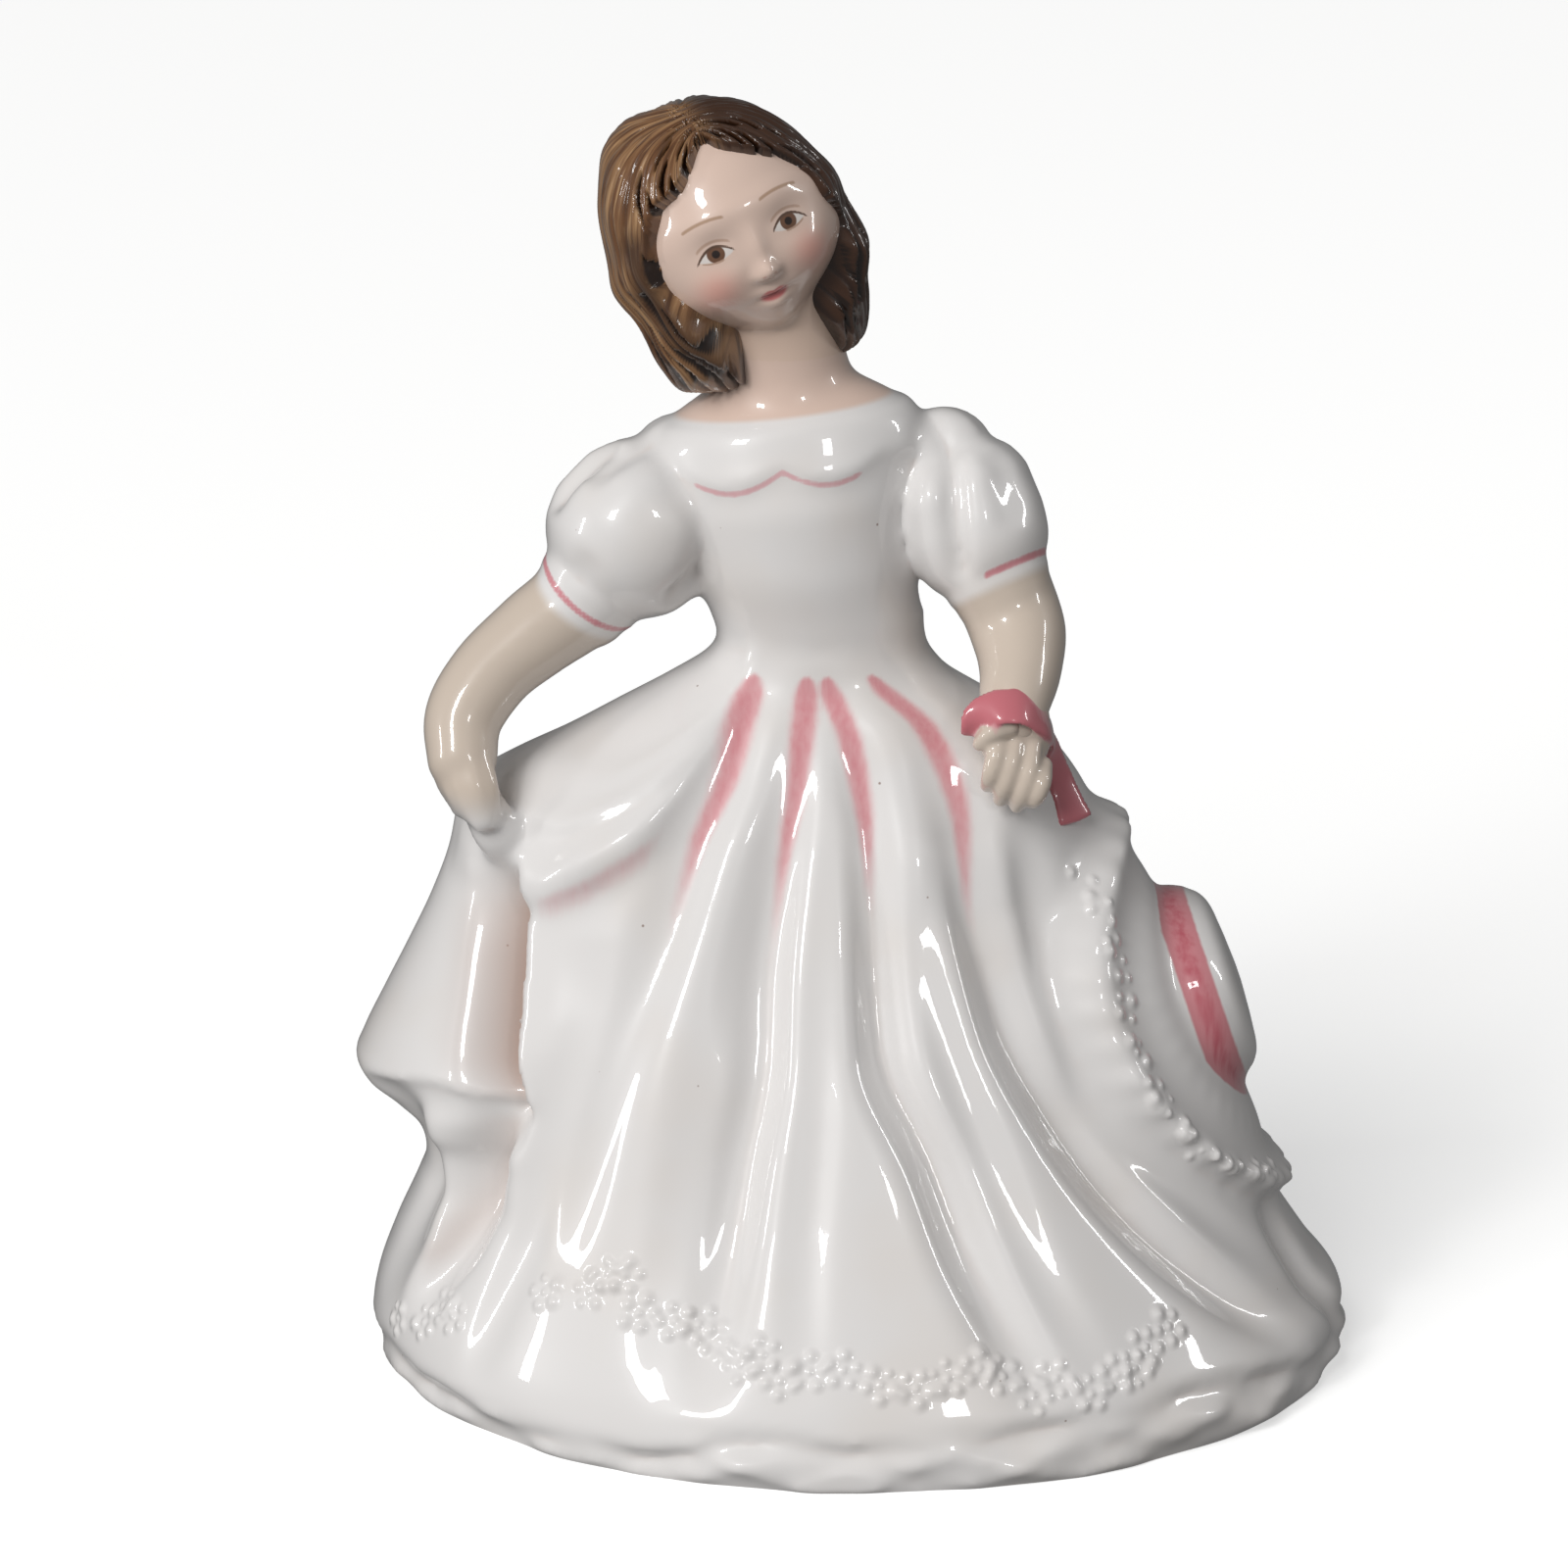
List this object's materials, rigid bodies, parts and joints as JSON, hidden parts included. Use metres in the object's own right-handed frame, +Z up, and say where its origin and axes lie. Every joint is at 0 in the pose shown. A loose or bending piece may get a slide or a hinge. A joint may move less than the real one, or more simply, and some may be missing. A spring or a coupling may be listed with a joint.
{
  "type": "bone china figurine",
  "caption": "Glazed bone china figurine of a small girl in a white ball gown with pink trim, lifting her skirt with one hand and carrying her hat on a ribbon.",
  "frame": {"origin": "centre of the flat underside, on the surface the figurine stands on", "axes": "+Z up from the underside to the hair, -Y the way the girl faces, +X towards her left hand and the hat"},
  "size_m": [0.1045, 0.0844, 0.1332],
  "materials": {
    "glazed_china": null
  },
  "bodies": {
    "root": {"figurine": "glazed_china"}
  },
  "joints": []
}
